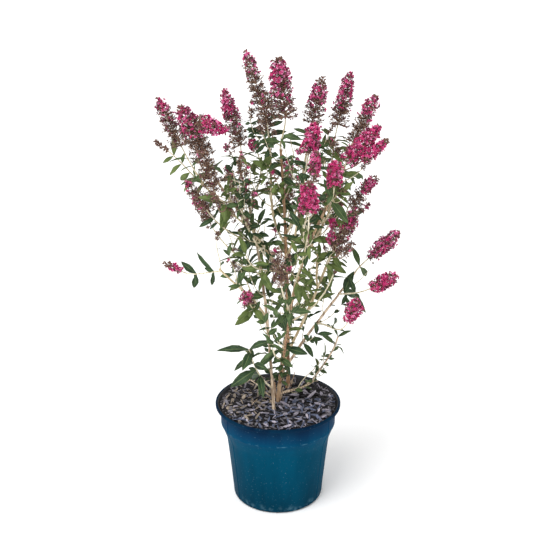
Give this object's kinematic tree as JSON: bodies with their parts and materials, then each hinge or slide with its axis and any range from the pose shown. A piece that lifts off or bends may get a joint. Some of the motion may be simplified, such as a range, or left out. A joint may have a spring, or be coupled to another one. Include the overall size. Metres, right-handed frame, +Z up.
{
  "type": "potted butterfly bush",
  "caption": "Many-stemmed butterfly bush with slender leafy shoots and tapering magenta flower spikes, rooted in bark mulch in a round blue nursery pot.",
  "frame": {"origin": "middle of the flat underside of the pot, on the surface that it stands on", "axes": "+Z up, +X to the right of the pictured side, -Y towards the viewer of that side"},
  "size_m": [0.518, 0.4554, 0.99],
  "materials": {
    "pot": "satin moulded plastic, scuffed along the edges",
    "mulch": "rough weathered bark chips",
    "old_wood": "matt peeling bark",
    "young_wood": "matt, finely ridged young bark",
    "blossom": "soft petals, faded brown in places",
    "foliage": "soft leaves with a pale felted underside"
  },
  "bodies": {
    "root": {"pot": "pot", "mulch": "mulch", "stem_centre": "old_wood", "stem_cut_stub": "old_wood", "stem_left": "old_wood", "stem_right": "old_wood", "bough_back": "young_wood", "bough_front": "young_wood", "bough_inner_right": "young_wood", "bough_left": "young_wood", "bough_left_far": "young_wood", "bough_left_low": "young_wood", "bough_low_right": "young_wood", "bough_right_back": "young_wood", "bough_right_high": "young_wood", "bough_right_low": "young_wood", "bough_right_outer": "young_wood", "bough_top_left": "young_wood", "bough_upper_right": "young_wood", "shoot_back_high": "blossom", "shoot_back_left": "blossom", "shoot_back_low_left": "blossom", "shoot_back_low_right": "blossom", "shoot_back_right": "blossom", "shoot_bright_right": "blossom", "shoot_crown": "blossom", "shoot_front_faded": "blossom", "shoot_inner_back": "blossom", "shoot_inner_high": "blossom", "shoot_inner_leaves_back": "foliage", "shoot_inner_leaves_left": "foliage", "shoot_inner_leaves_right": "foliage", "shoot_inner_left": "blossom", "shoot_inner_low": "blossom", "shoot_inner_mid": "blossom", "shoot_left_bud": "blossom", "shoot_left_cluster": "blossom", "shoot_left_faded": "blossom", "shoot_left_far_high": "blossom", "shoot_left_inner_high": "blossom", "shoot_left_low_far": "blossom", "shoot_left_low_small": "blossom", "shoot_left_mid": "blossom", "shoot_low_back": "foliage", "shoot_low_front": "foliage", "shoot_low_left": "foliage", "shoot_low_right": "foliage", "shoot_right_back": "blossom", "shoot_right_far": "blossom", "shoot_right_high": "blossom", "shoot_right_low_mid": "blossom", "shoot_right_lower_far": "blossom", "shoot_right_lowest": "blossom", "shoot_right_mid": "blossom", "shoot_right_shoulder": "blossom", "shoot_top_left": "blossom", "shoot_upper_right": "blossom"}
  },
  "joints": []
}
